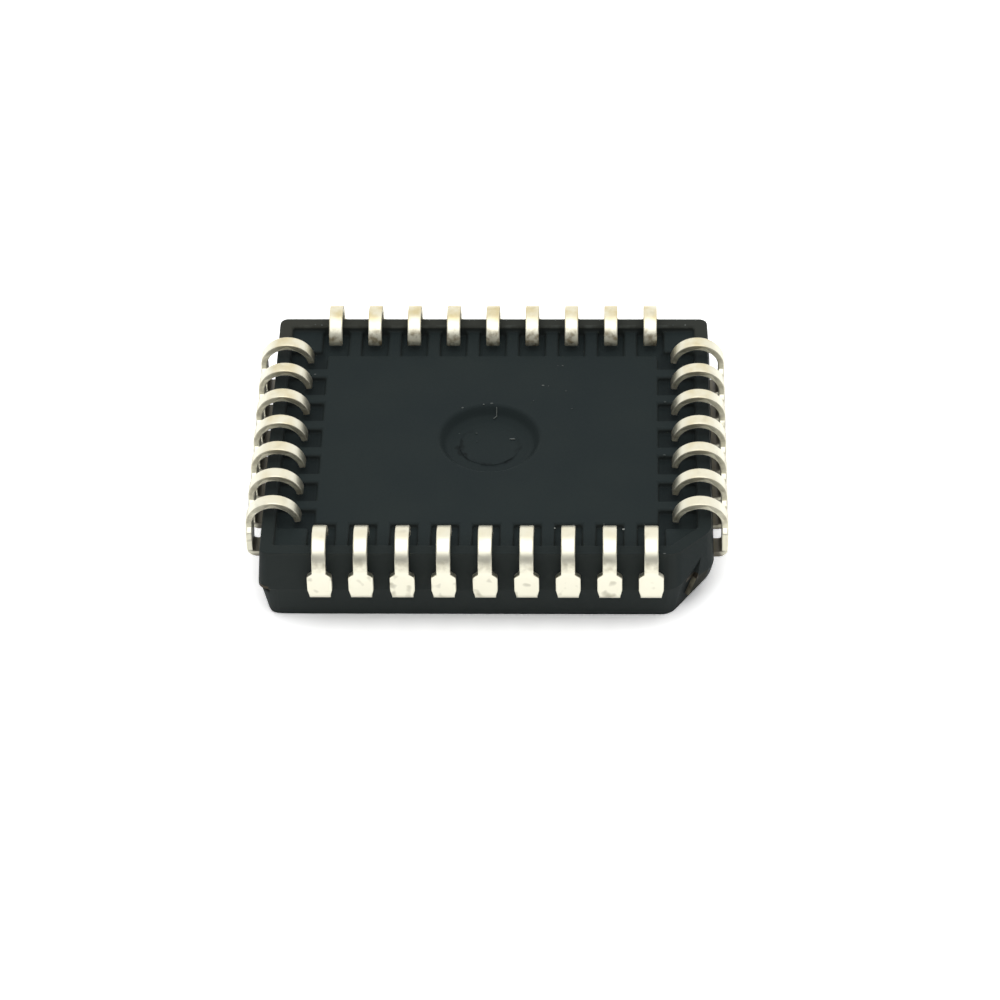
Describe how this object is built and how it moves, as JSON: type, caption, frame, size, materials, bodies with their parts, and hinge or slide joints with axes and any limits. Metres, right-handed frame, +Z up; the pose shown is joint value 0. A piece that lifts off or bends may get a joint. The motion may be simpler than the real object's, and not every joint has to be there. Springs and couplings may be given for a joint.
{
  "type": "plcc chip",
  "caption": "Surface-mount chip carrier: a black moulded body with one chamfered corner, J-shaped tinned leads on all four sides and a tip pocket for each, lying leads up.",
  "frame": {"origin": "centre of the flat marking face, which lies on the table, under the middle of the leads' spans", "axes": "+X along the long sides, +Y away from the long side next to the chamfered corner, +Z up from the marking face to the leads' crests"},
  "size_m": [0.015, 0.0124, 0.0032],
  "materials": {
    "moulded_body": "satin moulded epoxy",
    "lead": "matte tin plating on copper alloy",
    "die_paddle": "copper alloy strip",
    "die_attach": "silver-filled epoxy",
    "die": "polished silicon",
    "bond_wires": "gold wire"
  },
  "bodies": {
    "root": {"moulded_body": "moulded_body", "die_paddle": "die_paddle", "die_attach": "die_attach", "die": "die", "bond_wires": "bond_wires", "lead_01": "lead", "lead_02": "lead", "lead_03": "lead", "lead_04": "lead", "lead_05": "lead", "lead_06": "lead", "lead_07": "lead", "lead_08": "lead", "lead_09": "lead", "lead_10": "lead", "lead_11": "lead", "lead_12": "lead", "lead_13": "lead", "lead_14": "lead", "lead_15": "lead", "lead_16": "lead", "lead_17": "lead", "lead_18": "lead", "lead_19": "lead", "lead_20": "lead", "lead_21": "lead", "lead_22": "lead", "lead_23": "lead", "lead_24": "lead", "lead_25": "lead", "lead_26": "lead", "lead_27": "lead", "lead_28": "lead", "lead_29": "lead", "lead_30": "lead", "lead_31": "lead", "lead_32": "lead"}
  },
  "joints": []
}
